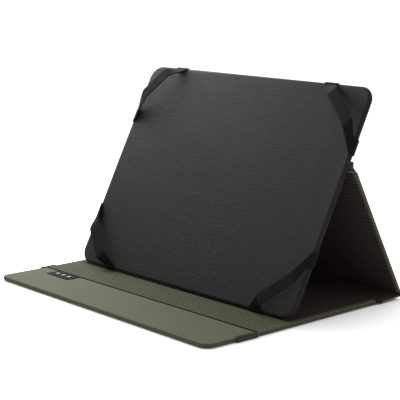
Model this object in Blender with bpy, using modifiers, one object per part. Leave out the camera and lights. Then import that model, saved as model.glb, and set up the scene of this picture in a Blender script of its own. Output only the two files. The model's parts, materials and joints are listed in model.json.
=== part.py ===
"""Tablet folio case, standing open as a stand. Metres, +Z up, front edge towards -Y.

The front cover lies on the table with its lining up, the spine lies behind it, and the
back cover rises from the spine as a strut. The holder panel is bonded to the top of the
back cover and leans back on the strut, with its foot on the front cover. Four elastic
straps cross the corners of the space in front of the panel, where the tablet goes.
The origin is under the middle of the case, on the table.
"""

import math

import bmesh
import bpy
from mathutils import Vector

# The covers are a laminate: outer skin, stiff board and lining, a glue line apart.
SKIN = 0.0006
GLUE_LINE = 0.00025
BOARD = 0.0013
LINING = 0.0006
RIM_STEP = 0.0002
SIDE_GAP = 0.0003

# Heights of the layers above the middle of the skin, where the living hinges bend.
SKIN_TOP = SKIN / 2
BOARD_BOTTOM = SKIN_TOP + GLUE_LINE
BOARD_TOP = BOARD_BOTTOM + BOARD
LINING_BOTTOM = BOARD_TOP + GLUE_LINE
LINING_TOP = LINING_BOTTOM + LINING
RIM_TOP = LINING_TOP - RIM_STEP

# Front cover, from its free edge to the fold of the spine.
COVER_WIDTH = 0.2655
COVER_FRONT = -0.1058
SPINE_FOLD_Y = 0.0794
COVER_CORNER = 0.008
RIM_WIDTH = 0.006
LINING_FRONT = -0.0538
LINING_SEAM = -0.0194
LABEL_SIZE = (0.0305, 0.0148, 0.0005)
LABEL_PLACE = (-0.0948, -0.0614)

# Elastic closure band, under the cover and round its short edges.
BAND_THICKNESS = 0.0008
BAND_GAP = 0.0003
BAND_FRONT = -0.0744
BAND_REAR = -0.0544

# Spine, a thin strip that rises a little towards the back cover.
SPINE_RUN = 0.0266
SPINE_RISE = 0.0017
SPINE_BOARD = 0.0006
SPINE_LINING = 0.0005

# Back cover, as the strut, and its upper part behind the holder panel.
BACK_WIDTH = 0.2658
SKIN_END = 0.0008
SPINE_LAYERS_END = 0.0040
STRUT_LAYERS_START = 0.0048
BOARD_END = 0.0015
UPPER_BACK_INSET = 0.0035
UPPER_BACK_CORNER = 0.0095
PANEL_GLUE = 0.0005

# Holder panel. Its own frame has X along the width, Y up the panel and Z out of its face.
PANEL_TILT = math.radians(62.1)
PANEL_FOOT_Y = -0.0204
PANEL_WIDTH = 0.262
PANEL_HEIGHT = 0.191
PANEL_THICKNESS = 0.0045
PANEL_CORNER = 0.0125
PANEL_EDGE = 0.0018
PANEL_HINGE_UP = 0.126
COVER_FABRIC = 0.0007
BACK_FABRIC = 0.0006
FOAM = 0.0010
FOOT_CLEARANCE = 0.0004

# Corner straps, as they lie over a tablet 7.5 mm thick.
STRAP_WIDTH = 0.010
STRAP_THICKNESS = 0.0009
STRAP_LIFT = 0.00805
STRAP_GAP = 0.0003
STRAP_ROOT_WIDTH = 0.013
# For each corner: the two ends of the flat span, where the first leg meets the panel's
# top or bottom edge, and where the second meets its side edge. All on the panel's face.
STRAP_CORNERS = {
    "top_right": ((0.0966, 0.1829), (0.1251, 0.1566), 0.0865, 0.1415),
    "top_left": ((-0.1000, 0.1830), (-0.1195, 0.1595), -0.0920, 0.1410),
    "bottom_left": ((-0.0950, 0.0075), (-0.1200, 0.0320), -0.0870, 0.0485),
    "bottom_right": ((0.0992, 0.0074), (0.1266, 0.0326), 0.0925, 0.0490),
}

CORNER_STEPS = 8
EDGE_STEPS = 3
CUT_MARGIN = 0.005

# Places that follow from the sizes above.
TABLE_TO_SKIN = BAND_THICKNESS + BAND_GAP + SKIN / 2
COVER_TOP = TABLE_TO_SKIN + LINING_TOP
SPINE_FOLD = Vector((0, SPINE_FOLD_Y, TABLE_TO_SKIN))
STAND_FOLD = SPINE_FOLD + Vector((0, SPINE_RUN, SPINE_RISE))
SPINE_TILT = math.atan2(SPINE_RISE, SPINE_RUN)
SPINE_LENGTH = math.hypot(SPINE_RUN, SPINE_RISE)
UP_PANEL = Vector((0, math.cos(PANEL_TILT), math.sin(PANEL_TILT)))
OFF_PANEL = Vector((0, -math.sin(PANEL_TILT), math.cos(PANEL_TILT)))
# The panel's rounded lower edge dips below its front corner by this much.
EDGE_DIP = (
    PANEL_EDGE
    + (PANEL_THICKNESS - PANEL_EDGE) * math.cos(PANEL_TILT)
    - PANEL_EDGE * math.sin(PANEL_TILT)
)
PANEL_FOOT = Vector((0, PANEL_FOOT_Y, COVER_TOP + EDGE_DIP + FOOT_CLEARANCE))
PANEL_HINGE_BACK = PANEL_THICKNESS + PANEL_GLUE + LINING_TOP
PANEL_FOLD = PANEL_FOOT + PANEL_HINGE_UP * UP_PANEL - PANEL_HINGE_BACK * OFF_PANEL
STRUT = PANEL_FOLD - STAND_FOLD
STRUT_TILT = math.atan2(STRUT.z, STRUT.y)
STRUT_LENGTH = STRUT.length

OLIVE = (0.105, 0.105, 0.065)
OLIVE_LINING = (0.095, 0.095, 0.058)
BLACK_LINING = (0.012, 0.010, 0.010)
PANEL_BLACK = (0.028, 0.028, 0.030)
STRAP_BLACK = (0.018, 0.018, 0.020)
LABEL_BLACK = (0.010, 0.010, 0.012)
BOARD_GREY = (0.35, 0.33, 0.29)
FOAM_GREY = (0.06, 0.06, 0.06)
BAND_OLIVE = (0.070, 0.070, 0.042)


def clear_scene():
    for obj in list(bpy.data.objects):
        bpy.data.objects.remove(obj, do_unlink=True)


def new_collection(name):
    collection = bpy.data.collections.new(name)
    bpy.context.scene.collection.children.link(collection)
    return collection


def material(name, color, roughness=0.85, metallic=0.0):
    made = bpy.data.materials.new(name)
    made.use_nodes = True
    shader = made.node_tree.nodes["Principled BSDF"]
    shader.inputs["Base Color"].default_value = (*color, 1.0)
    shader.inputs["Roughness"].default_value = roughness
    shader.inputs["Metallic"].default_value = metallic
    return made


def add_frame(name, place, tilt=0.0, parent=None):
    """An empty whose X axis is a fold line."""
    empty = bpy.data.objects.new(name, None)
    empty.location = place
    empty.rotation_euler.x = tilt
    empty.parent = parent
    empty.empty_display_size = 0.02
    parts.objects.link(empty)
    return empty


def add_object(name, bm, collection, parent, color=None):
    mesh = bpy.data.meshes.new(name)
    bmesh.ops.recalc_face_normals(bm, faces=bm.faces)
    bm.to_mesh(mesh)
    bm.free()
    mesh.shade_smooth()
    mesh.set_sharp_from_angle(angle=math.radians(35))
    obj = bpy.data.objects.new(name, mesh)
    obj.parent = parent
    collection.objects.link(obj)
    if color:
        mesh.materials.append(material(name, color))
    return obj


def box_mesh(width, y_range, z_range):
    """A box centred on X, between two values of Y and two of Z."""
    bm = bmesh.new()
    bmesh.ops.create_cube(bm, size=1.0)
    low = Vector((-width / 2, y_range[0], z_range[0]))
    high = Vector((width / 2, y_range[1], z_range[1]))
    bmesh.ops.scale(bm, vec=high - low, verts=bm.verts)
    bmesh.ops.translate(bm, vec=(high + low) / 2, verts=bm.verts)
    return bm


def round_corners(bm, radius, ends):
    """Rounds the upright edges at the low ("front") or high ("rear") end in Y."""
    middle = sum(vert.co.y for vert in bm.verts) / len(bm.verts)
    picked = []
    for edge in bm.edges:
        first, second = edge.verts
        upright = (first.co - second.co).xy.length < 1e-6
        end = "front" if first.co.y < middle else "rear"
        if upright and end in ends:
            picked.append(edge)
    bmesh.ops.bevel(
        bm, geom=picked, offset=radius, segments=CORNER_STEPS, profile=0.5, affect="EDGES"
    )


def soften_rims(bm, radius):
    """Rounds the edges round the top face and round the bottom face."""
    rims = [
        edge for edge in bm.edges if abs(edge.verts[0].co.z - edge.verts[1].co.z) < 1e-7
    ]
    bmesh.ops.bevel(
        bm, geom=rims, offset=radius, segments=EDGE_STEPS, profile=0.5, affect="EDGES"
    )


def slab(name, width, y_range, z_range, parent, color, corner=0.0, ends=(), rim=0.0):
    bm = box_mesh(width, y_range, z_range)
    if corner:
        round_corners(bm, corner, ends)
    if rim:
        soften_rims(bm, rim)
    return add_object(name, bm, parts, parent, color)


def cut_slab(target, width, y_range, z_range, corner=0.0, ends=()):
    """Takes a slab of space out of the target, in the target's own frame."""
    bm = box_mesh(width, y_range, z_range)
    if corner:
        round_corners(bm, corner, ends)
    number = len(target.modifiers) + 1
    cutter = add_object(f"{target.name}_cut_{number}", bm, cutters, target.parent)
    cutter.hide_render = True
    cutter.display_type = "WIRE"
    cut = target.modifiers.new("cut", "BOOLEAN")
    cut.operation = "DIFFERENCE"
    cut.object = cutter


def ribbon(name, rungs, parent, color):
    """A strip of elastic between pairs of points, as a surface made solid."""
    bm = bmesh.new()
    rows = [[bm.verts.new(point) for point in rung] for rung in rungs]
    for near, far in zip(rows, rows[1:]):
        bm.faces.new((near[0], near[1], far[1], far[0]))
    strip = add_object(name, bm, parts, parent, color)
    solid = strip.modifiers.new("thickness", "SOLIDIFY")
    solid.thickness = STRAP_THICKNESS
    solid.offset = 0.0
    solid.use_even_offset = True
    return strip


def build_front_cover(frame):
    inner_width = COVER_WIDTH - 2 * SKIN
    skin = slab(
        "front_outer_skin",
        COVER_WIDTH,
        (COVER_FRONT, SPINE_FOLD_Y - SKIN_END),
        (-SKIN / 2, RIM_TOP),
        frame,
        OLIVE,
        COVER_CORNER,
        ("front",),
        rim=0.0,
    )
    cut_slab(
        skin,
        inner_width,
        (COVER_FRONT + SKIN, SPINE_FOLD_Y + CUT_MARGIN),
        (SKIN_TOP, LINING_BOTTOM),
        COVER_CORNER - SKIN,
        ("front",),
    )
    window = COVER_WIDTH - 2 * RIM_WIDTH
    cut_slab(
        skin,
        window,
        (LINING_FRONT, SPINE_FOLD_Y + CUT_MARGIN),
        (BOARD_TOP, LINING_TOP + CUT_MARGIN),
    )
    slab(
        "front_board",
        inner_width - 2 * SIDE_GAP,
        (COVER_FRONT + SKIN + SIDE_GAP, SPINE_FOLD_Y - BOARD_END),
        (BOARD_BOTTOM, BOARD_TOP),
        frame,
        BOARD_GREY,
        COVER_CORNER - SKIN - SIDE_GAP,
        ("front",),
    )
    lining_width = window - 2 * SIDE_GAP
    slab(
        "front_lining_olive",
        lining_width,
        (LINING_FRONT + SIDE_GAP, LINING_SEAM - SIDE_GAP / 2),
        (LINING_BOTTOM, LINING_TOP),
        frame,
        OLIVE_LINING,
    )
    slab(
        "front_lining_black",
        lining_width,
        (LINING_SEAM + SIDE_GAP / 2, SPINE_FOLD_Y - SKIN_END),
        (LINING_BOTTOM, LINING_TOP),
        frame,
        BLACK_LINING,
    )


def build_label(frame):
    length, depth, thickness = LABEL_SIZE
    bottom = RIM_TOP + SIDE_GAP
    label = slab(
        "woven_label",
        length,
        (LABEL_PLACE[1] - depth / 2, LABEL_PLACE[1] + depth / 2),
        (bottom, bottom + thickness),
        frame,
        LABEL_BLACK,
    )
    label.location.x = LABEL_PLACE[0]


def build_closure_band(frame):
    inner_width = COVER_WIDTH + 2 * BAND_GAP
    bottom = -SKIN / 2 - BAND_GAP
    band = slab(
        "closure_band",
        inner_width + 2 * BAND_THICKNESS,
        (BAND_FRONT, BAND_REAR),
        (bottom - BAND_THICKNESS, RIM_TOP),
        frame,
        BAND_OLIVE,
    )
    cut_slab(
        band,
        inner_width,
        (BAND_FRONT - CUT_MARGIN, BAND_REAR + CUT_MARGIN),
        (bottom, RIM_TOP + CUT_MARGIN),
    )


def build_spine(frame):
    layers_end = SPINE_LENGTH - SPINE_LAYERS_END
    slab(
        "spine_skin",
        COVER_WIDTH,
        (SKIN_END, SPINE_LENGTH - SKIN_END),
        (-SKIN / 2, SKIN_TOP),
        frame,
        OLIVE,
    )
    board_top = BOARD_BOTTOM + SPINE_BOARD
    slab(
        "spine_board",
        COVER_WIDTH - 2 * RIM_WIDTH,
        (BOARD_END, layers_end),
        (BOARD_BOTTOM, board_top),
        frame,
        BOARD_GREY,
    )
    lining_bottom = board_top + GLUE_LINE
    slab(
        "spine_lining",
        COVER_WIDTH - RIM_WIDTH,
        (BOARD_END, layers_end),
        (lining_bottom, lining_bottom + SPINE_LINING),
        frame,
        BLACK_LINING,
    )


def build_back_cover(frame):
    """The lower half of the back cover, which is the stand's strut."""
    inner_width = BACK_WIDTH - 2 * SKIN
    skin = slab(
        "back_skin",
        BACK_WIDTH,
        (SKIN_END, STRUT_LENGTH - SKIN_END),
        (-SKIN / 2, RIM_TOP),
        frame,
        OLIVE,
    )
    past_ends = (-CUT_MARGIN, STRUT_LENGTH + CUT_MARGIN)
    cut_slab(skin, inner_width, past_ends, (SKIN_TOP, LINING_BOTTOM))
    window = BACK_WIDTH - 2 * RIM_WIDTH
    cut_slab(skin, window, past_ends, (BOARD_TOP, LINING_TOP + CUT_MARGIN))
    rims_start = (-CUT_MARGIN, STRUT_LAYERS_START)
    cut_slab(skin, BACK_WIDTH + CUT_MARGIN, rims_start, (SKIN_TOP, LINING_TOP + CUT_MARGIN))
    layers = (STRUT_LAYERS_START, STRUT_LENGTH - BOARD_END)
    slab(
        "back_board",
        inner_width - 2 * SIDE_GAP,
        layers,
        (BOARD_BOTTOM, BOARD_TOP),
        frame,
        BOARD_GREY,
    )
    slab(
        "back_lining",
        window - 2 * SIDE_GAP,
        layers,
        (LINING_BOTTOM, LINING_TOP),
        frame,
        BLACK_LINING,
    )


def build_upper_back(frame):
    """The upper half of the back cover, bonded to the back of the holder panel."""
    top = PANEL_HEIGHT - PANEL_HINGE_UP - UPPER_BACK_INSET
    width = PANEL_WIDTH - 2 * UPPER_BACK_INSET
    slab(
        "upper_back_skin",
        width,
        (SKIN_END, top),
        (-SKIN / 2, SKIN_TOP),
        frame,
        OLIVE,
        UPPER_BACK_CORNER,
        ("rear",),
    )
    slab(
        "upper_back_board",
        width - 2 * SKIN,
        (BOARD_END, top - SKIN),
        (BOARD_BOTTOM, LINING_TOP + PANEL_GLUE - GLUE_LINE),
        frame,
        BOARD_GREY,
        UPPER_BACK_CORNER - SKIN,
        ("rear",),
    )


def build_panel(frame):
    both_ends = ("front", "rear")
    shell = slab(
        "panel_front_cover",
        PANEL_WIDTH,
        (0.0, PANEL_HEIGHT),
        (-PANEL_THICKNESS, 0.0),
        frame,
        PANEL_BLACK,
        PANEL_CORNER,
        both_ends,
        PANEL_EDGE,
    )
    wall = PANEL_EDGE
    inner = (PANEL_WIDTH - 2 * wall, wall, PANEL_HEIGHT - wall)
    corner = PANEL_CORNER - wall
    pocket = (-PANEL_THICKNESS - CUT_MARGIN, -COVER_FABRIC)
    cut_slab(shell, inner[0], inner[1:], pocket, corner, both_ends)
    plate = (inner[0] - 2 * SIDE_GAP, (inner[1] + SIDE_GAP, inner[2] - SIDE_GAP))
    foam_top = -COVER_FABRIC - GLUE_LINE
    board_top = foam_top - FOAM - GLUE_LINE
    back_top = -PANEL_THICKNESS + BACK_FABRIC
    layers = {
        "panel_foam": (foam_top - FOAM, foam_top, FOAM_GREY),
        "panel_board": (back_top + GLUE_LINE, board_top, BOARD_GREY),
        "panel_back_cover": (-PANEL_THICKNESS, back_top, PANEL_BLACK),
    }
    for name, (low, high, color) in layers.items():
        slab(name, *plate, (low, high), frame, color, corner - SIDE_GAP, both_ends)


def edge_rungs(root, along, outward):
    """Rungs that follow the panel's rounded edge. Root is a point on the edge."""
    reach = PANEL_EDGE + STRAP_GAP + STRAP_THICKNESS / 2
    half = along * STRAP_ROOT_WIDTH / 2
    rungs = []
    for degrees in (60, 30, 0):
        turn = math.radians(degrees)
        centre = root - outward * PANEL_EDGE - Vector((0, 0, PANEL_EDGE))
        point = centre + reach * (outward * math.sin(turn) + Vector((0, 0, math.cos(turn))))
        rungs.append((point - half, point + half))
    return rungs


def build_strap(corner, frame):
    """One elastic strap: a flat span over the tablet's corner and two sewn legs."""
    first, second, root_x, root_y = STRAP_CORNERS[corner]
    side = math.copysign(1, root_x)
    upward = 1 if corner.startswith("top") else -1
    span_start = Vector((*first, STRAP_LIFT))
    span_end = Vector((*second, STRAP_LIFT))
    along = (span_end - span_start).normalized()
    outward = Vector((side * abs(along.y), upward * abs(along.x), 0))
    half = outward * STRAP_WIDTH / 2
    ribbon(
        f"strap_{corner}",
        [(point - half, point + half) for point in (span_start, span_end)],
        frame,
        STRAP_BLACK,
    )
    leg_start = span_start - along * STRAP_GAP
    leg_end = span_end + along * STRAP_GAP
    edge_y = PANEL_HEIGHT if upward > 0 else 0.0
    edge_root = Vector((root_x, edge_y, 0))
    rungs = edge_rungs(edge_root, Vector((side, 0, 0)), Vector((0, upward, 0)))
    rungs.append((leg_start - half, leg_start + half))
    ribbon(f"strap_{corner}_{corner.split('_')[0]}_leg", rungs, frame, STRAP_BLACK)
    side_root = Vector((side * PANEL_WIDTH / 2, root_y, 0))
    rungs = edge_rungs(side_root, Vector((0, upward, 0)), Vector((side, 0, 0)))
    rungs.append((leg_end - half, leg_end + half))
    ribbon(f"strap_{corner}_side_leg", rungs, frame, STRAP_BLACK)


clear_scene()
parts = new_collection("tablet_case")
cutters = new_collection("cutters")

cover_frame = add_frame("front_cover_frame", (0, 0, TABLE_TO_SKIN))
build_front_cover(cover_frame)
build_label(cover_frame)
build_closure_band(cover_frame)

build_spine(add_frame("spine_fold_frame", SPINE_FOLD, SPINE_TILT))
build_back_cover(add_frame("stand_fold_frame", STAND_FOLD, STRUT_TILT))

panel_fold_frame = add_frame("panel_fold_frame", PANEL_FOLD, PANEL_TILT)
build_upper_back(panel_fold_frame)
face_place = (0, -PANEL_HINGE_UP, PANEL_HINGE_BACK)
panel_face_frame = add_frame("panel_face_frame", face_place, parent=panel_fold_frame)
build_panel(panel_face_frame)
for corner_name in STRAP_CORNERS:
    build_strap(corner_name, panel_face_frame)
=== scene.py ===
"""Looks of the tablet folio case, standing open. Metres, +Z up, front edge towards -Y.

Each piece is built in the flat frame of the cover it belongs to, where X runs along the
folds, Y along the cover and Z points to the lined side. The folds are cloth strips that
bend between two bodies.
"""

import json
import math

import bpy
import numpy as np
from mathutils import Matrix, Vector


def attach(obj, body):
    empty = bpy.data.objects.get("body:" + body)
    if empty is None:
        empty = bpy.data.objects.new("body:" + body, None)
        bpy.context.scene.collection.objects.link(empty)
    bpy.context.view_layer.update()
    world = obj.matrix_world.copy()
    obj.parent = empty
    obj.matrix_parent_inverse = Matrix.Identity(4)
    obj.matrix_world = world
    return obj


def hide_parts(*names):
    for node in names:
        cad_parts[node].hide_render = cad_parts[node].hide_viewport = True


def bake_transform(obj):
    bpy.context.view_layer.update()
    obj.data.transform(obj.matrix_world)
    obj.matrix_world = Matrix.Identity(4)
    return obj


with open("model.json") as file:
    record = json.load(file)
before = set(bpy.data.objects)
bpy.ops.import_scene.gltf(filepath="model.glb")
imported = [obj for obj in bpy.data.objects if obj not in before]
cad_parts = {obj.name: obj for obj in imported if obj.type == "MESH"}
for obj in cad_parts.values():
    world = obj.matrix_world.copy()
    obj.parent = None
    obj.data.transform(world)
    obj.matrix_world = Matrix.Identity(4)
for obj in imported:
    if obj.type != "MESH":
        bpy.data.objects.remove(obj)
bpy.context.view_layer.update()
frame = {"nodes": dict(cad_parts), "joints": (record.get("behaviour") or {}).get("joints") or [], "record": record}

# Sizes of the case, as in the CAD model.
COVER_WIDTH = 0.2655
COVER_FRONT = -0.1058
COVER_CORNER = 0.008
BACK_WIDTH = 0.2658
SEAM_Y = -0.0538
BLACK_SEAM_Y = -0.0194
SKIN_BOTTOM = -0.0003
PADDED_BOTTOM = -0.0007
COVER_TOP = 0.0026
PANEL_TILT = math.radians(62.1)
PANEL_WIDTH = 0.262
PANEL_HEIGHT = 0.191
PANEL_THICKNESS = 0.0045
PANEL_CORNER = 0.0125
PANEL_HINGE_UP = 0.126
PANEL_HINGE_BACK = 0.0077
UPPER_BACK_INSET = 0.0035
UPPER_BACK_CORNER = 0.0095
LABEL_SIZE = (0.0305, 0.0148)
LABEL_PLACE = (-0.0968, -0.0616)
BAND_RIGHT = (-0.0758, -0.0541)
BAND_LEFT = (-0.0600, -0.0440)
BAND_THICKNESS = 0.0008
STRAP_WIDTH = 0.010
STRAP_THICKNESS = 0.0009
STRAP_LIFT = 0.00805
STRAP_ROOT_WIDTH = 0.013
# For each corner: the ends of the flat span, and where the legs cross the panel's top or
# bottom edge and its side edge. All on the panel's face, with X across and Y up.
STRAP_CORNERS = {
    "top_right": ((0.0966, 0.1829), (0.1251, 0.1566), 0.0865, 0.1415),
    "top_left": ((-0.1000, 0.1830), (-0.1195, 0.1595), -0.0920, 0.1410),
    "bottom_left": ((-0.0950, 0.0075), (-0.1200, 0.0320), -0.0870, 0.0485),
    "bottom_right": ((0.0992, 0.0074), (0.1266, 0.0326), 0.0925, 0.0490),
}

# The case's camera: where it stands, which way it looks and its lens.
CAMERA_PLACE = (0.7569, -0.6804, 0.2752)
CAMERA_YAW = 0.8336
CAMERA_PITCH = 0.1928
CAMERA_LENS = 113.5
SENSOR_WIDTH = 36.0

JOINTS = {joint["name"]: joint for joint in frame["joints"]}
SPINE_FOLD = Vector(JOINTS["spine_fold"]["pos_m"])
STAND_FOLD = Vector(JOINTS["stand_fold"]["pos_m"])
PANEL_FOLD = Vector(JOINTS["panel_fold"]["pos_m"])


def frame_between(start, end):
    """(matrix, length) of a frame at start whose Y axis points to end."""
    run = end - start
    turn = Matrix.Rotation(math.atan2(run.z, run.y), 4, "X")
    return Matrix.Translation(start) @ turn, run.length


COVER = Matrix.Translation((0, 0, SPINE_FOLD.z))
SPINE, SPINE_LENGTH = frame_between(SPINE_FOLD, STAND_FOLD)
STRUT, STRUT_LENGTH = frame_between(STAND_FOLD, PANEL_FOLD)
UPPER = Matrix.Translation(PANEL_FOLD) @ Matrix.Rotation(PANEL_TILT, 4, "X")
PANEL = UPPER @ Matrix.Translation((0, -PANEL_HINGE_UP, PANEL_HINGE_BACK))

# How far the soft covers lie from straight, sideways and along, and how much each line
# turns with X: at the front edge, the flap's seam, both sides of the spine fold and the
# stand fold.
LAY_PLACES = (COVER_FRONT, SEAM_Y, SPINE_FOLD.y - 0.003, SPINE_FOLD.y, STAND_FOLD.y)
LAY_SIDEWAYS = (-0.0048, -0.0026, -0.0006, 0.0014, 0.0024)
LAY_ALONG = (0.0036, -0.0004, 0.0, 0.0, 0.0)
LAY_TURN = (-0.0100, -0.0020, 0.0, 0.0, 0.0)
STRUT_HEIGHTS = (0.005, 0.015)


def laid(points):
    """Moves places on the covers to where the soft case really lies."""
    x, z = points[..., 0], points[..., 2]
    on_strut = np.interp(z, STRUT_HEIGHTS, (0.0, 1.0))
    y = points[..., 1] + on_strut * (STAND_FOLD.y - points[..., 1])
    along = np.interp(y, LAY_PLACES, LAY_ALONG) + x * np.interp(y, LAY_PLACES, LAY_TURN)
    out = points.copy()
    out[..., 0] += np.interp(y, LAY_PLACES, LAY_SIDEWAYS)
    out[..., 1] += along
    return out


# ---------------------------------------------------------------- materials


def linear(red, green, blue):
    """A screen colour, 0 to 255, as linear light."""
    steps = (red / 255, green / 255, blue / 255)
    return tuple(s / 12.92 if s <= 0.04045 else ((s + 0.055) / 1.055) ** 2.4 for s in steps)


class Graph:
    """The node graph of one material."""

    def __init__(self, name, roughness, sheen=0.0, sheen_roughness=0.4, specular=0.4):
        self.material = bpy.data.materials.new(name)
        self.material.use_nodes = True
        self.tree = self.material.node_tree
        self.shader = self.tree.nodes["Principled BSDF"]
        self.shader.inputs["Roughness"].default_value = roughness
        self.shader.inputs["Sheen Weight"].default_value = sheen
        self.shader.inputs["Sheen Roughness"].default_value = sheen_roughness
        self.shader.inputs["Specular IOR Level"].default_value = specular

    def node(self, kind, **settings):
        made = self.tree.nodes.new("ShaderNode" + kind)
        for name, value in settings.items():
            setattr(made, name, value)
        return made

    def put(self, socket, value):
        if isinstance(value, bpy.types.NodeSocket):
            self.tree.links.new(value, socket)
        elif isinstance(value, tuple) and len(value) == 3 and len(socket.default_value) == 4:
            socket.default_value = (*value, 1.0)
        else:
            socket.default_value = value

    def math(self, operation, first, second=0.0):
        made = self.node("Math", operation=operation)
        self.put(made.inputs[0], first)
        self.put(made.inputs[1], second)
        return made.outputs[0]

    def total(self, *terms):
        """The sum of (socket, share) pairs."""
        result = 0.0
        for socket, share in terms:
            result = self.math("ADD", self.math("MULTIPLY", socket, share), result)
        return result

    def mix(self, factor, first, second):
        made = self.node("Mix", data_type="RGBA")
        self.put(made.inputs[0], factor)
        self.put(made.inputs[6], first)
        self.put(made.inputs[7], second)
        return made.outputs[2]

    def cloth_place(self):
        """Places along the cloth, in metres: (vector, across, along)."""
        vector = self.node("UVMap", uv_map="cloth").outputs[0]
        split = self.node("SeparateXYZ")
        self.put(split.inputs[0], vector)
        return vector, split.outputs[0], split.outputs[1]

    def noise(self, vector, size, detail=3.0, stretch=(1.0, 1.0, 1.0)):
        """Noise whose blobs are about size metres wide, from 0 to 1."""
        mapping = self.node("Mapping")
        self.put(mapping.inputs["Vector"], vector)
        mapping.inputs["Scale"].default_value = stretch
        made = self.node("TexNoise")
        self.put(made.inputs["Vector"], mapping.outputs[0])
        made.inputs["Scale"].default_value = 1.0 / size
        made.inputs["Detail"].default_value = detail
        return made.outputs["Factor"] if "Factor" in made.outputs else made.outputs[0]

    def threads(self, place, pitch):
        """Rounded threads, from -1 to 1, of that pitch along one direction."""
        return self.math("SINE", self.math("MULTIPLY", place, math.tau / pitch))

    def lines(self, place, pitch, width):
        """Thin soft lines, 1 on the line and 0 between."""
        apart = self.math("PINGPONG", self.math("ADD", place, 10 * pitch), pitch / 2)
        return self.ramp(apart, 0.0, width, 1.0, 0.0)

    def ramp(self, value, low, high, to_low=0.0, to_high=1.0):
        made = self.node("MapRange", interpolation_type="SMOOTHSTEP")
        self.put(made.inputs["Value"], value)
        made.inputs["From Min"].default_value = low
        made.inputs["From Max"].default_value = high
        made.inputs["To Min"].default_value = to_low
        made.inputs["To Max"].default_value = to_high
        return made.outputs[0]

    def edge(self):
        """Distance in from the piece's edge, in metres, kept on its points."""
        return self.node("Attribute", attribute_name="edge").outputs["Fac"]

    def colour(self, value):
        self.put(self.shader.inputs["Base Color"], value)

    def roughness(self, value):
        self.put(self.shader.inputs["Roughness"], value)

    def bump(self, height, depth):
        made = self.node("Bump")
        made.inputs["Strength"].default_value = 1.0
        made.inputs["Distance"].default_value = depth
        self.put(made.inputs["Height"], height)
        self.put(self.shader.inputs["Normal"], made.outputs[0])


def darker(colour, share):
    """That share of a colour's light. A share above 1 is lighter."""
    return tuple(part * share for part in colour)


def woven(
    name,
    base,
    ripstop=0.0,
    pitch=0.0037,
    line_width=0.0010,
    thread=0.00042,
    wear=0.12,
    sheen=0.12,
    specular=0.25,
    roughness=0.75,
    depth=0.00010,
    shade=0.0,
):
    """A plain weave with stronger ripstop threads, patchy dye and rubbed edges.

    ripstop is how strong their lines are: darker than the base, or lighter if it is below 0.
    shade is how much painted shade darkens the cloth round the cover's side, where less light falls, than on its
    face.
    """
    graph = Graph(name, roughness, sheen, specular=specular)
    vector, across, along = graph.cloth_place()
    weave = graph.math("MULTIPLY", graph.threads(across, thread), graph.threads(along, thread))
    lines_across = graph.lines(across, pitch, line_width)
    lines_along = graph.lines(along, pitch, line_width)
    grid = graph.math("MAXIMUM", lines_across, lines_along)
    patches = graph.noise(vector, 0.035)
    fibres = graph.noise(vector, 0.0009, 2.0, (1.0, 0.25, 1.0))
    colour = graph.mix(patches, darker(base, 0.90), darker(base, 1.10))
    colour = graph.mix(graph.math("MULTIPLY", fibres, 0.35), colour, darker(base, 0.72))
    crossed = graph.math("MULTIPLY", grid, abs(ripstop))
    colour = graph.mix(crossed, colour, darker(base, 0.22 if ripstop > 0 else 2.6))
    # Painted shade: the cloth round the cover's side is darkened, as less light falls there.
    painted_side_shade = graph.ramp(graph.edge(), 0.0002, 0.0012, shade, 0.0)
    colour = graph.mix(painted_side_shade, colour, darker(base, 0.45))
    rubbed = graph.ramp(graph.edge(), 0.0004, 0.0016, 1.0, 0.0)
    rubbed = graph.math("MULTIPLY", rubbed, graph.ramp(graph.noise(vector, 0.004), 0.3, 0.75))
    pale = tuple(min(1.0, part * 1.35 + 0.01) for part in base)
    colour = graph.mix(graph.math("MULTIPLY", rubbed, wear), colour, pale)
    graph.colour(colour)
    graph.roughness(graph.ramp(fibres, 0.2, 0.8, roughness - 0.06, roughness + 0.08))
    height = graph.total((weave, 0.3), (grid, 1.6 * abs(ripstop)), (fibres, 0.5))
    graph.bump(height, depth)
    return graph.material


def elastic(name, base, rib=0.00125, pick=0.0006, sheen=0.0, roughness=0.65):
    """Ribbed woven elastic: ribs along the strap and fine picks across it."""
    graph = Graph(name, roughness, sheen, specular=0.03)
    vector, across, along = graph.cloth_place()
    ribs = graph.threads(across, rib)
    picks = graph.threads(along, pick)
    fibres = graph.noise(vector, 0.0005, 2.0, (1.0, 0.3, 1.0))
    patches = graph.noise(vector, 0.012)
    colour = graph.mix(patches, darker(base, 0.85), darker(base, 1.2))
    # Painted shade: darker in the grooves between the ribs.
    colour = graph.mix(graph.ramp(ribs, -1.0, 0.2, 0.55, 0.0), colour, darker(base, 0.35))
    # Painted highlight: lighter on the raised tops of the picks.
    colour = graph.mix(graph.ramp(picks, 0.2, 1.0, 0.0, 0.3), colour, darker(base, 1.6))
    graph.colour(colour)
    graph.bump(graph.total((ribs, 0.6), (picks, 0.35), (fibres, 0.4)), 0.00009)
    return graph.material


def satin_label(name, base):
    """A label's tight twill, with its diagonal lines."""
    graph = Graph(name, 0.6, 0.0, specular=0.02)
    vector, across, along = graph.cloth_place()
    slope = graph.math("ADD", across, along)
    twill = graph.threads(slope, 0.00045)
    fine = graph.threads(along, 0.0003)
    patches = graph.noise(vector, 0.006)
    colour = graph.mix(patches, darker(base, 0.8), darker(base, 1.3))
    # Painted highlight: lighter on the twill's raised diagonal lines.
    colour = graph.mix(graph.ramp(twill, 0.0, 1.0, 0.0, 0.4), colour, darker(base, 2.0))
    graph.colour(colour)
    graph.bump(graph.total((twill, 0.6), (fine, 0.3)), 0.00005)
    return graph.material


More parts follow.
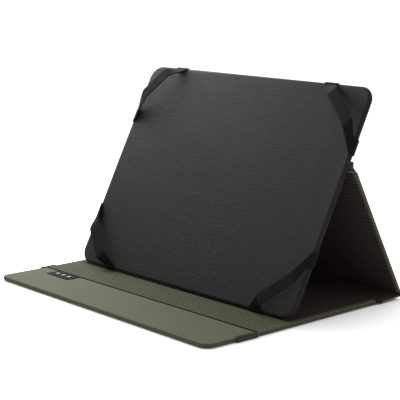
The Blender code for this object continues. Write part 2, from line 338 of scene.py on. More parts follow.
def thread(name, base):
    """Sewing thread: two twisted plies that catch the light."""
    graph = Graph(name, 0.55, 0.3, specular=0.4)
    vector, across, along = graph.cloth_place()
    twist = graph.threads(graph.math("ADD", along, across), 0.0004)
    patches = graph.noise(vector, 0.003)
    colour = graph.mix(patches, darker(base, 0.8), darker(base, 1.2))
    # Painted shade: darker in the grooves of the twist.
    colour = graph.mix(graph.ramp(twist, -1.0, 0.0, 0.5, 0.0), colour, darker(base, 0.4))
    graph.colour(colour)
    graph.bump(twist, 0.00003)
    return graph.material


def millboard(name, base):
    """Grey pressed board, with flecks."""
    graph = Graph(name, 0.85)
    place = graph.node("TexCoord").outputs["Object"]
    flecks = graph.noise(place, 0.0012, 4.0)
    colour = graph.mix(graph.ramp(flecks, 0.35, 0.7), darker(base, 0.8), darker(base, 1.15))
    graph.colour(colour)
    graph.bump(flecks, 0.00005)
    return graph.material


def foam_sheet(name, base):
    """Closed-cell foam, with its small cells."""
    graph = Graph(name, 0.9)
    cells = graph.node("TexVoronoi")
    graph.put(cells.inputs["Vector"], graph.node("TexCoord").outputs["Object"])
    cells.inputs["Scale"].default_value = 1600.0
    colour = graph.mix(cells.outputs["Distance"], darker(base, 1.3), darker(base, 0.6))
    graph.colour(colour)
    graph.bump(cells.outputs["Distance"], 0.0001)
    return graph.material


def backdrop(name):
    """The pale floor, very slightly uneven."""
    graph = Graph(name, 0.9, specular=0.2)
    place = graph.node("TexCoord").outputs["Object"]
    graph.colour(graph.mix(graph.noise(place, 0.5), *FLOOR_GREYS))
    return graph.material


OLIVE = linear(77, 79, 63)
OLIVE_DARK = linear(66, 66, 52)
OLIVE_LINING = linear(74, 76, 59)
BLACK = linear(34, 29, 27)
PANEL_BLACK = linear(20, 19, 22)
STRAP_BLACK = linear(16, 16, 18)
LABEL_BLACK = linear(3, 3, 3)
BAND_OLIVE = linear(45, 47, 38)
# Painted shade: the black of the strip laid along the flap's seam, standing for the seam's dark shadow line.
SEAM_SHADOW_BLACK = linear(10, 9, 8)
THREAD_OLIVE = linear(88, 90, 62)
THREAD_DARK = linear(40, 40, 30)
THREAD_LIGHT = linear(104, 104, 101)
BOARD_GREY = linear(150, 146, 136)
FOAM_GREY = linear(70, 70, 72)
FLOOR_GREYS = ((0.91, 0.91, 0.91), (0.94, 0.94, 0.94))

MATERIALS = {
    "outer": woven("olive_outer_fabric", OLIVE, ripstop=0.45, specular=0.06, sheen=0.0),
    # The flap's copy of the olive cloth, with painted shade darkening it round the cover's side.
    "flap": woven(
        "olive_flap_fabric_painted_side_shade", OLIVE, ripstop=0.45, specular=0.06, sheen=0.0, shade=0.85
    ),
    "olive_lining": woven(
        "olive_ripstop_lining", OLIVE_LINING, ripstop=1.0, specular=0.03, sheen=0.0
    ),
    "black_lining": woven(
        "black_ripstop_lining", BLACK, ripstop=-0.9, wear=0.0, sheen=0.0, specular=0.05
    ),
    "panel": woven(
        "panel_black_fabric",
        PANEL_BLACK,
        ripstop=-0.2,
        wear=0.3,
        sheen=0.0,
        specular=0.08,
        roughness=0.6,
    ),
    "edge": woven(
        "olive_turned_edge", OLIVE_DARK, ripstop=0.1, wear=0.5, specular=0.1, sheen=0.0
    ),
    "strap": elastic("black_elastic_weave", STRAP_BLACK),
    "band": elastic("olive_elastic_weave", BAND_OLIVE, rib=0.0016),
    # Painted shade: the black cloth of the strip along the flap's seam.
    "piping": elastic("black_seam_shadow_cloth", SEAM_SHADOW_BLACK),
    "label": satin_label("label_twill", LABEL_BLACK),
    "motif": thread("label_thread", THREAD_LIGHT),
    "stitch": thread("olive_thread", THREAD_OLIVE),
    "dark_stitch": thread("dark_olive_thread", THREAD_DARK),
    "board": millboard("grey_millboard", BOARD_GREY),
    "foam": foam_sheet("foam", FOAM_GREY),
}


# ------------------------------------------------------------------- meshes

EDGE_STEPS = 6
CORNER_STEP = 0.0007


def mesh_object(name, points, faces, cloth, edges, material):
    """A smooth mesh object with its places along the cloth and its edge distances."""
    mesh = bpy.data.meshes.new(name)
    mesh.from_pydata([tuple(p) for p in points], [], faces)
    mesh.update()
    layer = mesh.uv_layers.new(name="cloth")
    corners = np.empty(len(mesh.loops), dtype=np.int32)
    mesh.loops.foreach_get("vertex_index", corners)
    layer.data.foreach_set("uv", np.asarray(cloth, dtype=np.float32)[corners].ravel())
    attribute = mesh.attributes.new("edge", "FLOAT", "POINT")
    attribute.data.foreach_set("value", np.asarray(edges, dtype=np.float32))
    mesh.shade_smooth()
    mesh.set_sharp_from_angle(angle=math.radians(50))
    mesh.materials.append(MATERIALS[material])
    made = bpy.data.objects.new(name, mesh)
    bpy.context.scene.collection.objects.link(made)
    return made


def moved(points, matrix):
    """Carries points out of a cover's frame. The panel stands straight, the rest is laid."""
    turn = np.array(matrix.to_3x3())
    placed = np.asarray(points) @ turn.T + np.array(matrix.translation)
    return placed if matrix is PANEL or matrix is UPPER else laid(placed)


def ripple(x, y, seed):
    """A gentle unevenness, from -1 to 1, as laid cloth has."""
    first = np.sin(61 * x + 37 * y + seed) * np.sin(43 * y - 29 * x + 2.1 * seed)
    second = np.sin(127 * x - 83 * y + 1.7 * seed) * np.sin(101 * y + 71 * x + seed)
    return 0.65 * first + 0.35 * second


def axis_lines(length, rounding, corner, step, is_round):
    """Grid lines along one axis, from 0 to length: (places, cloth places, distances).

    Lines crowd at a rounded end, so that they follow its curve, and in a corner.
    """
    turns = np.linspace(0, math.pi / 2, EDGE_STEPS + 1)
    near = rounding * (1 - np.cos(turns))
    near_cloth = rounding * turns
    if corner > rounding:
        count = math.ceil((corner - rounding) / CORNER_STEP)
        more = np.linspace(rounding, corner, count + 1)[1:]
        near = np.concatenate([near, more])
        near_cloth = np.concatenate([near_cloth, near_cloth[-1] + more - rounding])
    extra = rounding * (math.pi / 2 - 1)
    low, low_cloth = (near, near_cloth) if is_round[0] else (np.zeros(1), np.zeros(1))
    high, high_cloth = (near, near_cloth) if is_round[1] else (np.zeros(1), np.zeros(1))
    total = length + extra * sum(is_round)
    start, end = low[-1], length - high[-1]
    count = max(1, math.ceil((end - start) / step))
    middle = np.linspace(start, end, count + 1)[1:-1]
    places = np.concatenate([low, middle, (length - high)[::-1]])
    middle_cloth = middle + (extra if is_round[0] else 0)
    cloth = np.concatenate([low_cloth, middle_cloth, (total - high_cloth)[::-1]])
    from_low = places if is_round[0] else np.full(len(places), 1.0)
    from_high = length - places if is_round[1] else np.full(len(places), 1.0)
    return places, cloth, np.minimum(from_low, from_high)


def bend_corners(x, y, width, length, radius, is_round):
    """Moves the points of a grid so that its square corners become round."""
    for low_x in (True, False):
        for low_y in (True, False):
            if not is_round[0 if low_y else 1]:
                continue
            a = ((radius - x) if low_x else (x - width + radius)) / radius
            b = ((radius - y) if low_y else (y - length + radius)) / radius
            inside = (a > 0) & (b > 0)
            share = np.maximum(a, b)[inside] / np.hypot(a, b)[inside]
            a_new, b_new = radius * a[inside] * share, radius * b[inside] * share
            x[inside] = radius - a_new if low_x else width - radius + a_new
            y[inside] = radius - b_new if low_y else length - radius + b_new
    return x, y


def grid_faces(columns, rows, first, flip):
    """Faces between a grid's points, whose numbers are in first."""
    faces = []
    for i in range(columns - 1):
        for j in range(rows - 1):
            a, b = first[i][j], first[i + 1][j]
            c, d = first[i + 1][j + 1], first[i][j + 1]
            face = (a, b, c, d) if not flip else (d, c, b, a)
            face = tuple(dict.fromkeys(face))
            if len(face) > 2:
                faces.append(face)
    return faces


def plate(
    name,
    width,
    y_range,
    z_range,
    matrix,
    material,
    corner=0.0,
    ends=(True, True),
    rounding=None,
    crown=0.0,
    waves=0.00003,
    step=0.004,
    shape=None,
    middle_x=0.0,
):
    """A soft-edged plate of cloth over a board, rounded all round but at its flat ends.

    ends says which of its low and high ends in Y are rounded. shape moves its points.
    """
    length = y_range[1] - y_range[0]
    half = (z_range[1] - z_range[0]) / 2
    middle_z = (z_range[1] + z_range[0]) / 2
    rounding = half if rounding is None else rounding
    corner = max(corner, rounding)
    xs, us, across = axis_lines(width, rounding, corner, step, (True, True))
    ys, vs, along = axis_lines(length, rounding, corner, step, ends)
    x, y = np.meshgrid(xs, ys, indexing="ij")
    u, v = np.meshgrid(us, vs, indexing="ij")
    distance = np.minimum(*np.meshgrid(across, along, indexing="ij"))
    extra = rounding * (math.pi / 2 - 1)
    x, y = bend_corners(x.copy(), y.copy(), width, length, corner, ends)
    cloth_size = (width + 2 * extra, length + extra * sum(ends))
    u, v = bend_corners(u.copy(), v.copy(), *cloth_size, corner + extra, ends)
    fall = np.clip((rounding - distance) / rounding, 0, 1)
    rise = np.sqrt(np.clip(1 - fall**2, 0, 1))
    x += middle_x - width / 2
    y += y_range[0]
    inner = np.clip(distance / 0.03, 0, 1)
    swell = crown * inner * (2 - inner)
    seed = sum(map(ord, name)) % 17
    soft = waves * np.clip((distance - rounding) / 0.006, 0, 1)
    columns, rows = x.shape
    points, cloth, edges, sheets = [], [], [], []
    for side in (1, -1):
        z = middle_z + side * (half * rise + swell) + soft * ripple(x, y, seed + side)
        sheet = np.empty((columns, rows), dtype=int)
        grid = np.stack([x, y, z], axis=-1).reshape(-1, 3)
        if shape:
            grid = shape(grid, distance.ravel(), side)
        for index, at in enumerate(np.ndindex(columns, rows)):
            if side == -1 and distance[at] < 1e-9:
                sheet[at] = sheets[0][at]
                continue
            sheet[at] = len(points)
            points.append(grid[index])
            cloth.append((u[at], v[at]))
            edges.append(distance[at])
        sheets.append(sheet)
    faces = grid_faces(columns, rows, sheets[0], False)
    faces += grid_faces(columns, rows, sheets[1], True)
    for row, is_round in ((0, ends[0]), (rows - 1, ends[1])):
        if is_round:
            continue
        for i in range(columns - 1):
            face = (
                sheets[0][i][row],
                sheets[1][i][row],
                sheets[1][i + 1][row],
                sheets[0][i + 1][row],
            )
            face = tuple(dict.fromkeys(face if row == 0 else face[::-1]))
            if len(face) > 2:
                faces.append(face)
    return mesh_object(name, moved(points, matrix), faces, cloth, edges, material)


def smoothed(rungs, times):
    """Cuts the corners of a run of rungs, keeping its first and last."""
    for _ in range(times):
        out = [rungs[0]]
        for near, far in zip(rungs, rungs[1:]):
            out.append(0.75 * near + 0.25 * far)
            out.append(0.25 * near + 0.75 * far)
        out.append(rungs[-1])
        rungs = out
    return rungs


def ribbon(name, rungs, thickness, material, ribs=0, rib_depth=0.0, columns=24, start=0.0):
    """A closed strip of that thickness along rungs, which are pairs of side points.

    ribs raises that many ribs along it. start is its place along the cloth.
    """
    rungs = np.asarray(rungs)
    middles = rungs.mean(axis=1)
    run = np.gradient(middles, axis=0)
    sides = rungs[:, 1] - rungs[:, 0]
    normals = np.cross(sides, run)
    normals /= np.linalg.norm(normals, axis=1)[:, None]
    lengths = np.linalg.norm(np.diff(middles, axis=0), axis=1)
    along = start + np.concatenate([[0], np.cumsum(lengths)])
    share = -np.cos(np.linspace(0, math.pi, columns + 1))
    share = 0.35 * share + 0.65 * np.linspace(-1, 1, columns + 1)
    width = np.median(np.linalg.norm(sides, axis=1))
    reach = min(1.0, thickness / width)
    outer = np.clip((np.abs(share) - (1 - reach)) / reach, 0, 1)
    lift = thickness / 2 * np.sqrt(1 - outer**2)
    lift = lift + rib_depth * np.cos(math.pi * ribs * share) * (1 - outer) if ribs else lift
    loop = [(s, h) for s, h in zip(share, lift)]
    loop += [(s, -h) for s, h in zip(share[-2:0:-1], lift[-2:0:-1])]
    points, cloth, edges = [], [], []
    for middle, side, normal, place in zip(middles, sides, normals, along):
        for s, h in loop:
            points.append(middle + side * s / 2 + normal * h)
            cloth.append((s * width / 2, place))
            edges.append((1 - abs(s)) * width / 2)
    size = len(loop)
    faces = []
    for row in range(len(rungs) - 1):
        for i in range(size):
            j = (i + 1) % size
            here, there = row * size, (row + 1) * size
            faces.append((here + i, there + i, there + j, here + j))
    faces.append(tuple(range(size)))
    faces.append(tuple(range(len(points) - 1, len(points) - 1 - size, -1)))
    return mesh_object(name, points, faces, cloth, edges, material)


FOLD_SKIN = 0.00052
FOLD_LINING = 0.0006


def fold_strip(name, profile, width, lining=False, last_width=None):
    """Cloth across a fold: a run of places in the YZ plane, from width to last_width wide."""
    widths = np.linspace(width, last_width or width, len(profile))
    rungs = [
        np.array([(-wide / 2, y, z), (wide / 2, y, z)]) for wide, (y, z) in zip(widths, profile)
    ]
    rungs = [laid(rung) for rung in smoothed(rungs, 3)]
    thickness = FOLD_LINING if lining else FOLD_SKIN
    material = "black_lining" if lining else "outer"
    strip = ribbon(name, rungs, thickness, material, columns=90)
    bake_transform(strip)


STITCH_PITCH = 0.0031
STITCH_LENGTH = 0.0023
STITCH_RADIUS = 0.00017
STITCH_RINGS = 6
STITCH_SIDES = 6


def stitches(name, start, end, matrix, body, material="stitch"):
    """A row of stitches between two places on a cover, each a short arched thread."""
    start, end = np.array(start, float), np.array(end, float)
    count = max(1, int(np.linalg.norm(end - start) / STITCH_PITCH))
    along = (end - start) / np.linalg.norm(end - start)
    up = np.array((0.0, 0.0, 1.0))
    side = np.cross(up, along)
    turns = np.linspace(0, math.tau, STITCH_SIDES, endpoint=False)
    points, cloth, faces = [], [], []
    for number in range(count):
        middle = start + along * STITCH_PITCH * (number + 0.5)
        base = len(points)
        for ring in range(STITCH_RINGS + 1):
            share = ring / STITCH_RINGS * 2 - 1
            radius = STITCH_RADIUS * max(0.25, math.sqrt(max(0.0, 1 - share**4)))
            height = STITCH_RADIUS * (0.7 - 1.6 * share**4)
            centre = middle + along * share * STITCH_LENGTH / 2 + up * height
            for turn in turns:
                offset = side * math.cos(turn) + up * math.sin(turn)
                points.append(centre + radius * offset)
                cloth.append((turn * STITCH_RADIUS, share * STITCH_LENGTH / 2))
        for ring in range(STITCH_RINGS):
            for i in range(STITCH_SIDES):
                j = (i + 1) % STITCH_SIDES
                here = base + ring * STITCH_SIDES
                there = here + STITCH_SIDES
                faces.append((here + i, here + j, there + j, there + i))
        last = base + STITCH_RINGS * STITCH_SIDES
        faces.append(tuple(base + i for i in reversed(range(STITCH_SIDES))))
        faces.append(tuple(last + i for i in range(STITCH_SIDES)))
    edges = np.full(len(points), 1.0)
    made = mesh_object(name, moved(points, matrix), faces, cloth, edges, material)
    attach(made, body)
    return made


# ------------------------------------------------------------- front cover

FLAP_BACK = SEAM_Y - 0.0004
UNDERSIDE_TOP = 0.00108
RIM_BOTTOM = 0.00116
COVER_BACK = SPINE_FOLD.y - 0.0032
LINING_INSET = 0.0016
STITCH_INSET = 0.0010
STRUT_LINING_INSET = 0.0012
LINING_BOTTOM = 0.0023
LINING_TOP = 0.00275
PLEATS = 7
PLEAT_DEPTH = 0.0008
PLEAT_REACH_ABOVE = 0.0011
PLEAT_REACH_BELOW = 0.009


def gathered(points, distance, side):
    """Folds the cloth into small pleats round the two front corners."""
    centre_y = COVER_FRONT + COVER_CORNER
    centre_x = COVER_WIDTH / 2 - COVER_CORNER
    over_x = np.abs(points[:, 0]) - centre_x
    over_y = centre_y - points[:, 1]
    at_corner = (over_x > 0) & (over_y > 0)
    turn = np.arctan2(np.clip(over_y, 1e-9, None), np.clip(over_x, 1e-9, None))
    share = turn / (math.pi / 2)
    waves = np.abs(np.sin(share * math.pi * PLEATS)) ** 0.6
    window = np.sin(np.clip(share, 0, 1) * math.pi) ** 0.5
    reach = PLEAT_REACH_BELOW if side < 0 else PLEAT_REACH_ABOVE
    near = np.clip(1 - distance / reach, 0, 1)
    amount = PLEAT_DEPTH * (1 - waves) * window * near * at_corner
    length = np.hypot(over_x, over_y) + 1e-9
    points[:, 0] -= np.sign(points[:, 0]) * amount * over_x / length
    points[:, 1] += amount * over_y / length
    points[:, 2] += 0.5 * amount if side < 0 else 0.0
    return points


def build_front_cover():
    flap = plate(
        "front_cover_flap",
        COVER_WIDTH,
        (COVER_FRONT, FLAP_BACK),
        (PADDED_BOTTOM, COVER_TOP),
        COVER,
        "flap",
        corner=COVER_CORNER,
        ends=(True, False),
        rounding=0.0012,
        waves=0.00006,
        shape=gathered,
    )
    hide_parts("front_outer_skin")
    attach(flap, "front_cover")
    lower = plate(
        "front_cover_underside",
        COVER_WIDTH,
        (FLAP_BACK - 0.002, COVER_BACK),
        (PADDED_BOTTOM + 0.00003, UNDERSIDE_TOP),
        COVER,
        "flap",
        ends=(False, False),
    )
    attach(lower, "front_cover")
    upper = plate(
        "front_cover_turned_rim",
        COVER_WIDTH - 0.0002,
        (SEAM_Y + 0.0006, COVER_BACK),
        (RIM_BOTTOM, COVER_TOP - 0.0001),
        COVER,
        "edge",
        ends=(False, False),
    )
    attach(upper, "front_cover")


def build_seam_shadow_strip():
    """A black strip along the seam between the flap and the lining: painted shade for the dark shadow line there.
    """
    piping = plate(
        "front_cover_seam_piping",
        COVER_WIDTH - 0.0006,
        (SEAM_Y - 0.0008, SEAM_Y + 0.0010),
        (0.0018, COVER_TOP + 0.00065),
        COVER,
        "piping",
        waves=0.0,
    )
    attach(piping, "front_cover")


def build_linings():
    width = COVER_WIDTH - 2 * LINING_INSET
    places = {
        "front_lining_olive_cloth": ("front_lining_olive", SEAM_Y + 0.0007, BLACK_SEAM_Y),
        "front_lining_black_cloth": ("front_lining_black", BLACK_SEAM_Y, COVER_BACK + 0.0012),
    }
    for name, (node, low, high) in places.items():
        tone = "olive_lining" if "olive" in name else "black_lining"
        sheet = plate(
            name,
            width,
            (low, high),
            (LINING_BOTTOM, LINING_TOP),
            COVER,
            tone,
            rounding=0.0002,
            waves=0.00008,
            step=0.0025,
        )
        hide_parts(node)
        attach(sheet, "front_cover")
    line_x = width / 2 - STITCH_INSET
    for side, word in ((-1, "left"), (1, "right")):
        start = (side * line_x, SEAM_Y + 0.002, LINING_TOP)
        end = (side * line_x, COVER_BACK, LINING_TOP)
        row = stitches(f"front_cover_stitches_{word}", start, end, COVER, "front_cover")


def build_label():
    width, depth = LABEL_SIZE
    low = LABEL_PLACE[1] - depth / 2
    label = plate(
        "woven_label_cloth",
        width,
        (low, low + depth),
        (COVER_TOP - 0.00015, COVER_TOP + 0.00045),
        COVER,
        "label",
        rounding=0.00025,
        step=0.001,
        middle_x=LABEL_PLACE[0],
    )
    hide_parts("woven_label")
    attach(label, "front_cover")
    build_label_motif(LABEL_PLACE[0], low + depth / 2)


def build_label_motif(middle_x, middle_y):
    """Three plain embroidered lozenges, as raised thread."""
    count, spacing = 3, 0.0078
    half_width, half_depth, height = 0.0021, 0.0027, 0.0003
    rings = (1.0, 0.92, 0.6)
    heights = (0.0, 0.8, 1.0)
    points, cloth, faces = [], [], []
    base_z = COVER_TOP + 0.0004
    for number in range(count):
        centre = middle_x + (number - (count - 1) / 2) * spacing
        base = len(points)
        for ring, lift in zip(rings, heights):
            for dx, dy in ((1, 0), (0, 1), (-1, 0), (0, -1)):
                x = centre + dx * half_width * ring
                y = middle_y + dy * half_depth * ring
                points.append((x, y, base_z + height * lift))
                cloth.append((x, y))
        for ring in range(2):
            for i in range(4):
                j = (i + 1) % 4
                here, there = base + 4 * ring, base + 4 * (ring + 1)
                faces.append((here + i, here + j, there + j, there + i))
        faces.append(tuple(base + 8 + i for i in range(4)))
        faces.append(tuple(base + i for i in (3, 2, 1, 0)))
    edges = np.full(len(points), 1.0)
    motif = mesh_object("label_motif", moved(points, COVER), faces, cloth, edges, "motif")
    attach(motif, "front_cover")


def build_closure_band():
    """The elastic band: tucked in at the seam, down the edges and under the cover."""
    reach = COVER_WIDTH / 2
    profile = [
        (reach - 0.0016, 0.00275),
        (reach + 0.0001, 0.00285),
        (reach + 0.0011, 0.0022),
        (reach + 0.0012, 0.0008),
        (reach + 0.0008, -0.0006),
        (reach - 0.0020, -0.00095),
        (reach - 0.0200, -0.00095),
    ]
    places = profile + [(-x, z) for x, z in reversed(profile)]
    rungs = []
    for x, z in places:
        share = np.clip(x / COVER_WIDTH + 0.5, 0, 1)
        low = BAND_LEFT[0] + share * (BAND_RIGHT[0] - BAND_LEFT[0])
        high = BAND_LEFT[1] + share * (BAND_RIGHT[1] - BAND_LEFT[1])
        rungs.append(np.array([(x, high, z), (x, low, z)]))
    rungs = [moved(rung, COVER) for rung in smoothed(rungs, 3)]
    band = ribbon(
        "closure_band_elastic", rungs, BAND_THICKNESS, "band", ribs=12, rib_depth=0.00004
    )
    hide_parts("closure_band")
    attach(band, "front_cover")


# ---------------------------------------------------------- spine and strut


def in_row(matrix, *places):
    """Places in a cover's frame (y, z), as places in the row frame's YZ plane."""
    return [tuple((matrix @ Vector((0, y, z))).yz) for y, z in places]


SPINE_TOP = 0.0017
STRUT_START = 0.0052
STRUT_END = STRUT_LENGTH - 0.0030
STRUT_TOP = 0.0025
UPPER_START = 0.0036
SPINE_RANGE = (0.0032, SPINE_LENGTH - 0.0038)


def build_spine():
    outer = plate(
        "spine_outer_cloth",
        COVER_WIDTH - 0.0006,
        SPINE_RANGE,
        (SKIN_BOTTOM, 0.0008),
        SPINE,
        "outer",
        ends=(False, False),
    )
    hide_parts("spine_skin")
    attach(outer, "spine")
    lining = plate(
        "spine_lining_cloth",
        COVER_WIDTH - 0.0002,
        SPINE_RANGE,
        (0.0006, SPINE_TOP),
        SPINE,
        "black_lining",
        ends=(False, False),
    )
    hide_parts("spine_lining")
    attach(lining, "spine")


def build_strut():
    outer = plate(
        "back_cover_cloth",
        BACK_WIDTH,
        (STRUT_START, STRUT_END),
        (SKIN_BOTTOM, STRUT_TOP),
        STRUT,
        "outer",
        ends=(False, False),
        rounding=0.0011,
        waves=0.00006,
    )
    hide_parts("back_skin")
    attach(outer, "back_cover")
    width = BACK_WIDTH - 2 * STRUT_LINING_INSET
    low, high = STRUT_START - 0.0012, STRUT_END + 0.0012
    lining = plate(
        "back_lining_cloth",
        width,
        (low, high),
        (STRUT_TOP - 0.0002, LINING_TOP),
        STRUT,
        "black_lining",
        rounding=0.0002,
        waves=0.00008,
        step=0.003,
    )
    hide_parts("back_lining")
    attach(lining, "back_cover")
    line_x = width / 2 - STITCH_INSET
    for side, word in ((-1, "left"), (1, "right")):
        start = (side * line_x, STRUT_START, LINING_TOP)
        end = (side * line_x, STRUT_END, LINING_TOP)
        row = stitches(
            f"back_cover_stitches_{word}", start, end, STRUT, "back_cover", "dark_stitch"
        )


# The living hinges: outer cloth round the outside, lining cloth on the inside.
SKIN_MIDDLE = -0.00002


def build_spine_fold():
    low = SPINE_RANGE[0]
    mid = SKIN_MIDDLE
    outer = in_row(COVER, (COVER_BACK - 0.002, mid), (COVER_BACK + 0.001, mid))
    outer += in_row(SPINE, (0.0, mid), (low - 0.001, mid), (low + 0.002, mid))
    fold_strip("spine_fold_outer", outer, COVER_WIDTH - 0.0004)
    inner = in_row(COVER, (COVER_BACK - 0.001, 0.0023), (COVER_BACK + 0.0012, 0.0022))
    inner += in_row(SPINE, (0.0004, 0.0016), (low - 0.0008, 0.0014), (low + 0.0015, 0.0013))
    width = COVER_WIDTH - 0.0003
    fold_strip("spine_fold_lining", inner, width, lining=True)


def build_stand_fold():
    high = SPINE_RANGE[1]
    start = STRUT_START
    mid = SKIN_MIDDLE
    outer = in_row(SPINE, (high - 0.002, mid), (high + 0.0005, mid))
    outer += in_row(SPINE, (SPINE_LENGTH - 0.0006, mid - 0.0001))
    outer += in_row(STRUT, (0.0002, mid - 0.0006), (0.002, mid - 0.0002))
    outer += in_row(STRUT, (start - 0.0008, mid), (start + 0.002, mid))
    fold_strip("stand_fold_outer", outer, BACK_WIDTH - 0.0004)
    inner = in_row(SPINE, (high - 0.0015, 0.0013), (high - 0.0002, 0.0014))
    inner += in_row(SPINE, (high + 0.0016, 0.0017))
    inner += in_row(STRUT, (start - 0.0022, 0.0021), (start, 0.0023), (start + 0.0015, 0.0023))
    width = BACK_WIDTH - 2 * LINING_INSET
    fold_strip("stand_fold_lining", inner, width, lining=True)


def build_panel_fold():
    mid = SKIN_MIDDLE
    outer = in_row(STRUT, (STRUT_END - 0.002, mid), (STRUT_END + 0.0008, mid))
    outer += in_row(STRUT, (STRUT_LENGTH - 0.0003, mid - 0.0003))
    outer += in_row(UPPER, (0.0006, mid - 0.0003), (0.0026, mid), (0.0056, mid))
    upper_width = PANEL_WIDTH - 2 * UPPER_BACK_INSET
    width = BACK_WIDTH - 0.0010
    fold_strip("panel_fold_outer", outer, width, last_width=upper_width)


# ------------------------------------------------- holder panel and straps


def build_panel():
    panel = plate(
        "panel_padded_cover",
        PANEL_WIDTH,
        (0.0, PANEL_HEIGHT),
        (-PANEL_THICKNESS, 0.0),
        PANEL,
        "panel",
        corner=PANEL_CORNER,
        rounding=0.0022,
        waves=0.0001,
    )
    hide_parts("panel_front_cover", "panel_back_cover")
    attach(panel, "holder_panel")
    width = PANEL_WIDTH - 2 * UPPER_BACK_INSET
    top = PANEL_HEIGHT - PANEL_HINGE_UP - UPPER_BACK_INSET
    upper = plate(
        "upper_back_cloth",
        width,
        (UPPER_START, top),
        (SKIN_BOTTOM, 0.0030),
        UPPER,
        "outer",
        corner=UPPER_BACK_CORNER,
        ends=(False, True),
        rounding=0.0013,
        waves=0.00006,
    )
    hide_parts("upper_back_skin")
    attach(upper, "holder_panel")


EDGE_RADIUS = PANEL_THICKNESS / 2
STRAP_REACH = EDGE_RADIUS + STRAP_THICKNESS / 2 + 0.0001
SPLIT_IN = 0.003


def edge_rungs(root, along, outward, first_turn):
    """Rungs round the panel's edge, from behind (or inside) it to its face."""
    half = along * STRAP_ROOT_WIDTH / 2
    centre = root - outward * EDGE_RADIUS - Vector((0, 0, EDGE_RADIUS))
    rungs = []
    if first_turn >= 180:
        point = centre - outward * 0.003 - Vector((0, 0, STRAP_REACH))
        rungs.append((point - half, point + half))
    for degrees in range(first_turn, -1, -20):
        turn = math.radians(degrees)
        direction = outward * math.sin(turn) + Vector((0, 0, math.cos(turn)))
        point = centre + STRAP_REACH * direction
        rungs.append((point - half, point + half))
    return rungs


def build_strap(corner):
    """One elastic strap: its flat span, and two legs that wrap the panel's edges."""
    first, second, root_x, root_y = STRAP_CORNERS[corner]
    side = math.copysign(1, root_x)
    upward = 1 if corner.startswith("top") else -1
    span_start, span_end = Vector((*first, STRAP_LIFT)), Vector((*second, STRAP_LIFT))
    along = (span_end - span_start).normalized()
    outward = Vector((side * abs(along.y), upward * abs(along.x), 0))
    half = outward * STRAP_WIDTH / 2
    end_root = Vector((root_x, PANEL_HEIGHT if upward > 0 else 0.0, 0))
    side_root = Vector((side * PANEL_WIDTH / 2, root_y, 0))
    x_axis, y_axis = Vector((side, 0, 0)), Vector((0, upward, 0))
    end_leg = edge_rungs(end_root, x_axis, y_axis, 180 if upward > 0 else 80)
    side_leg = edge_rungs(side_root, y_axis, x_axis, 180)
    steps = np.linspace(0, 1, 7)
    centres = [span_start.lerp(span_end, step) for step in steps]
    span = [(point - half, point + half) for point in centres]
    rungs = [np.array(rung) for rung in end_leg + span + side_leg[::-1]]
    rungs = smoothed(rungs, 3)
    middles = np.array([rung.mean(axis=0) for rung in rungs])
    cuts = []
    for place in (span_start + along * SPLIT_IN, span_end - along * SPLIT_IN):
        cuts.append(int(np.argmin(np.linalg.norm(middles - np.array(place), axis=1))))
    lengths = np.linalg.norm(np.diff(middles, axis=0), axis=1)
    travel = np.concatenate([[0], np.cumsum(lengths)])
    word = corner.split("_")[0]
    sections = {
        f"{word}_leg": (0, cuts[0], end_root, span_start),
        "span": (cuts[0], cuts[1], None, None),
        "side_leg": (cuts[1], len(rungs) - 1, side_root, span_end),
    }
    body = f"strap_{corner}"
    for section, (low, high, root, reach) in sections.items():
        run = [moved(rung, PANEL) for rung in rungs[low : high + 1]]
        piece = ribbon(
            f"elastic_{corner}_{section}",
            run,
            STRAP_THICKNESS,
            "strap",
            ribs=8,
            rib_depth=0.00004,
            columns=32,
            start=travel[low],
        )
        if section == "span":
            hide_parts(body)
            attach(piece, body)
        else:
            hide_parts(f"{body}_{section}")
            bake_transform(piece)


# ------------------------------------------------------------ hidden layers


def body_of(node_name):
    """The body that a CAD node belongs to."""
    for body, nodes in frame["record"]["behaviour"]["bodies"].items():
        if node_name in nodes:
            return body
    raise ValueError(node_name)


# The hidden boards are straight, so they are made smaller to stay inside the bent covers.
HIDDEN_SCALE = 0.985


def build_hidden_layers():
    """The boards and the foam inside, in their CAD shapes, laid like their covers."""
    for name, node in list(frame["nodes"].items()):
        if not name.endswith(("_board", "_foam")):
            continue
        body = body_of(name)
        points = np.array([node.matrix_world @ corner.co for corner in node.data.vertices])
        if body != "holder_panel":
            middle = points.mean(axis=0)
            points = laid(middle + (points - middle) * HIDDEN_SCALE)
        faces = [tuple(face.vertices) for face in node.data.polygons]
        tone = "foam" if name.endswith("_foam") else "board"
        edges = np.full(len(points), 1.0)
        layer = mesh_object(name + "_sheet", points, faces, points[:, :2], edges, tone)
        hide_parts(name)
        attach(layer, body)


# ------------------------------------------------------------------- studio

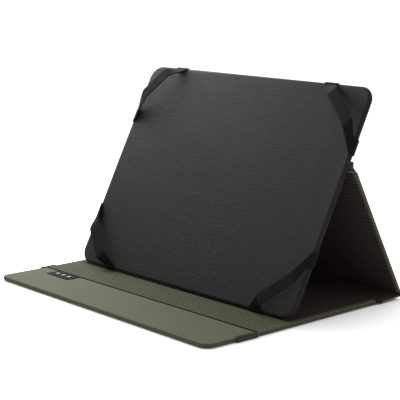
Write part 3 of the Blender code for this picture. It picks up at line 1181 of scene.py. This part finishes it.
WORLD_LIGHT = 1.3
KEY_LIGHT = 0.4
KEY_TURN = (math.radians(-42), math.radians(-38), 0)
KEY_SPREAD = math.radians(60)
SIDE_LIGHT = 4.0
SIDE_SIZE = 0.25
SIDE_PLACE = (-0.36, 0.08, 0.32)
SIDE_TARGET = (-0.10, -0.07, 0.0)
FLOOR_REACH = 30.0


def build_floor():
    mesh = bpy.data.meshes.new("floor")
    low, high = -FLOOR_REACH, FLOOR_REACH
    corners = [(low, low, 0), (high, low, 0), (high, high, 0), (low, high, 0)]
    mesh.from_pydata(corners, [], [(0, 1, 2, 3)])
    mesh.materials.append(backdrop("floor_white"))
    floor = bpy.data.objects.new("floor", mesh)
    bpy.context.scene.collection.objects.link(floor)


def build_world():
    world = bpy.data.worlds.new("studio")
    bpy.context.scene.world = world
    world.use_nodes = True
    background = world.node_tree.nodes["Background"]
    background.inputs["Color"].default_value = (1.0, 1.0, 1.0, 1.0)
    background.inputs["Strength"].default_value = WORLD_LIGHT
    bpy.context.scene.view_settings.view_transform = "Standard"


def build_lights():
    data = bpy.data.lights.new("key", "SUN")
    data.energy = KEY_LIGHT
    data.angle = KEY_SPREAD
    key = bpy.data.objects.new("key", data)
    key.rotation_euler = KEY_TURN
    bpy.context.scene.collection.objects.link(key)
    data = bpy.data.lights.new("side", "AREA")
    data.size = SIDE_SIZE
    data.energy = SIDE_LIGHT
    side = bpy.data.objects.new("side", data)
    side.location = SIDE_PLACE
    direction = Vector(SIDE_TARGET) - Vector(SIDE_PLACE)
    side.rotation_euler = direction.to_track_quat("-Z", "Y").to_euler()
    bpy.context.scene.collection.objects.link(side)


def build_camera():
    data = bpy.data.cameras.new("camera")
    data.sensor_width = SENSOR_WIDTH
    data.lens = CAMERA_LENS
    data.clip_end = 100
    camera = bpy.data.objects.new("camera", data)
    camera.location = CAMERA_PLACE
    camera.rotation_euler = (math.pi / 2 - CAMERA_PITCH, 0, CAMERA_YAW)
    bpy.context.scene.collection.objects.link(camera)
    bpy.context.scene.camera = camera


build_camera()
build_floor()
build_world()
build_lights()
build_front_cover()
build_seam_shadow_strip()
build_linings()
build_label()
build_closure_band()
build_spine()
build_strut()
build_spine_fold()
build_stand_fold()
build_panel_fold()
build_panel()
for corner_name in STRAP_CORNERS:
    build_strap(corner_name)
build_hidden_layers()
